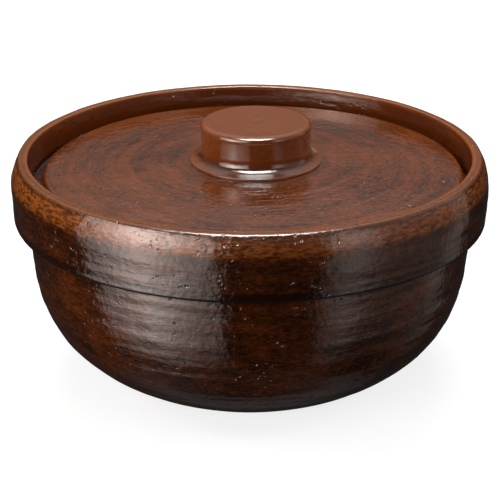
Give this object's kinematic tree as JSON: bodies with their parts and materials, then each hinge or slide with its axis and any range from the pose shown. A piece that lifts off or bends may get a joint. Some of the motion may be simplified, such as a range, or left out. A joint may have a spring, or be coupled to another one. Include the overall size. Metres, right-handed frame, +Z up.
{
  "type": "fermenting crock",
  "caption": "Wide round glazed stoneware fermenting crock with a stepped collar, a drop-in lid with a waisted knob, and half-moon weight stones inside.",
  "frame": {"origin": "centre of the foot, on the surface that the crock stands on", "axes": "+Z up along the crock's axis; +X to the right as seen from the front, +Y towards the back. The crock is round, so X and Y are set by the split between the two weight stones, which runs along Y"},
  "size_m": [0.27, 0.27, 0.1438],
  "materials": {
    "crock_glaze": "gloss",
    "lid_glaze": "gloss",
    "knob_glaze": "gloss",
    "weight_clay": "matt"
  },
  "bodies": {
    "crock": {"crock_bowl": "crock_glaze"},
    "lid": {"lid_disc": "lid_glaze", "lid_knob": "knob_glaze"},
    "weight_left": {"weight_stone_left": "weight_clay"},
    "weight_right": {"weight_stone_right": "weight_clay"}
  },
  "joints": [
    {"name": "lid_lift", "type": "slide", "parent": "crock", "child": "lid", "axis": [0, 0, 1], "range_m": [0, 0.12]},
    {"name": "weight_stone_left_lift", "type": "slide", "parent": "crock", "child": "weight_left", "axis": [0, 0, 1], "range_m": [0, 0.068]},
    {"name": "weight_stone_right_lift", "type": "slide", "parent": "crock", "child": "weight_right", "axis": [0, 0, 1], "range_m": [0, 0.068]}
  ]
}
